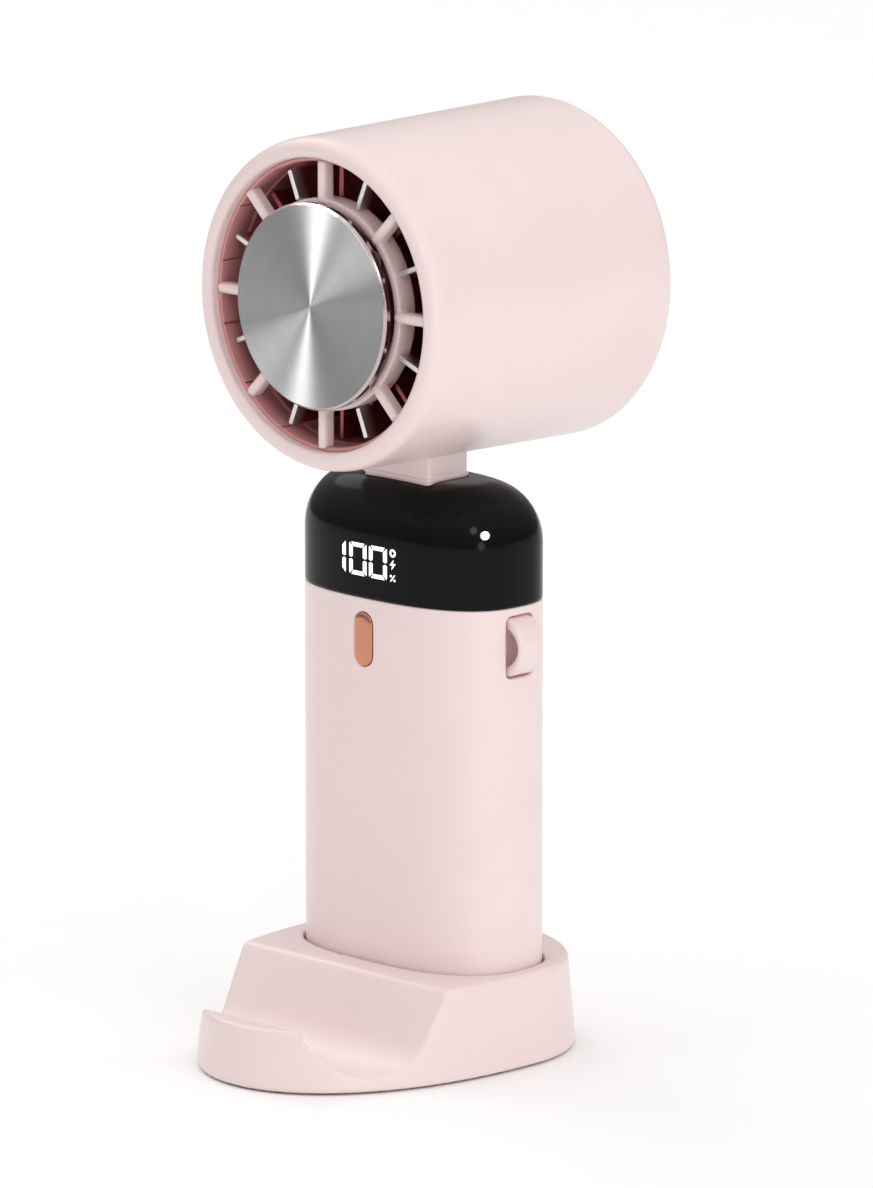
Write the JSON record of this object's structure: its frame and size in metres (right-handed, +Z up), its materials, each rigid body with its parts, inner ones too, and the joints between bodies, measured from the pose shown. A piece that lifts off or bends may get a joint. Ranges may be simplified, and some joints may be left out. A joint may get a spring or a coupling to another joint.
{
  "type": "handheld electric fan",
  "caption": "Handheld cooling fan with a drum-shaped head, a brushed cold plate in its front grille, a black display cap and an oval handle standing in a phone-holder base.",
  "frame": {"origin": "on the table, on the foot's lower face, below the middle of the handle's oval section", "axes": "+Z up along the handle, -Y the way the air blows and the phone trough's side, +X towards the lanyard loop"},
  "size_m": [0.0618, 0.0817, 0.169],
  "materials": {
    "body_pink": "satin moulded, pale pink",
    "inner_pink": "matt moulded, darker pink",
    "pad_rubber": "matt silicone",
    "cap_black": "piano black gloss",
    "wire_black": "matt sleeve",
    "plate_aluminium": "circular brushed with a polished edge",
    "fin_aluminium": "matt extruded",
    "steel": "plain bright",
    "rose_gold": "polished rose gold plating",
    "copper": "enamelled winding wire",
    "circuit_board": "green solder mask",
    "ceramic": "white alumina",
    "cell_wrap": "blue shrink film over a metal can",
    "white_plastic": "plain moulded",
    "light_white": "lit light pipe",
    "magnet": "bonded ferrite"
  },
  "bodies": {
    "stand": {"stand_shell": "body_pink", "stand_bottom_plate": "inner_pink", "stand_grip_pad": "pad_rubber", "stand_screw_1": "steel", "stand_screw_2": "steel", "stand_screw_3": "steel", "stand_screw_4": "steel"},
    "fan": {"battery_carrier": "white_plastic", "battery_cell_left": "cell_wrap", "battery_cell_right": "cell_wrap", "cell_strip_bottom_left": "steel", "cell_strip_bottom_right": "steel", "cell_strip_top": "steel", "cold_plate": "plate_aluminium", "cooling_switch": "steel", "display_board": "circuit_board", "display_cap": "cap_black", "display_module": "white_plastic", "duct_liner": "inner_pink", "end_screw_1": "steel", "end_screw_2": "steel", "front_badge": "rose_gold", "front_bearing": "steel", "front_grille": "body_pink", "handle_end_cap": "body_pink", "handle_shell": "body_pink", "head_shell": "body_pink", "head_wiring": "wire_black", "heat_sink": "fin_aluminium", "lanyard_loop": "body_pink", "main_board": "circuit_board", "motor_board": "circuit_board", "motor_mount": "inner_pink", "neck_bracket": "white_plastic", "neck_screw_1": "steel", "neck_screw_2": "steel", "power_switch": "steel", "rear_bearing": "steel", "rear_grille": "body_pink", "stator": "copper", "status_light": "light_white", "thermoelectric_module": "ceramic", "usb_board": "circuit_board", "usb_port": "steel"},
    "impeller": {"impeller": "inner_pink", "rotor_can": "steel", "magnet_ring": "magnet", "motor_shaft": "steel"},
    "power_button": {"power_button": "body_pink"},
    "cooling_button": {"cooling_button": "body_pink"}
  },
  "joints": [
    {"name": "fan_lift", "type": "slide", "parent": "stand", "child": "fan", "axis": [0, 0, 1], "range_m": [0, 0.02]},
    {"name": "impeller_spin", "type": "hinge", "parent": "fan", "child": "impeller", "pos_m": [0, 0, 0.1381], "axis": [0, 1, 0], "continuous": true},
    {"name": "power_press", "type": "slide", "parent": "fan", "child": "power_button", "axis": [0, -1, 0], "range_m": [0, 0.0004], "stiffness_N_per_m": 800, "springref_m": -0.0005},
    {"name": "cooling_press", "type": "slide", "parent": "fan", "child": "cooling_button", "axis": [0, -1, 0], "range_m": [0, 0.0004], "stiffness_N_per_m": 800, "springref_m": -0.0005}
  ]
}
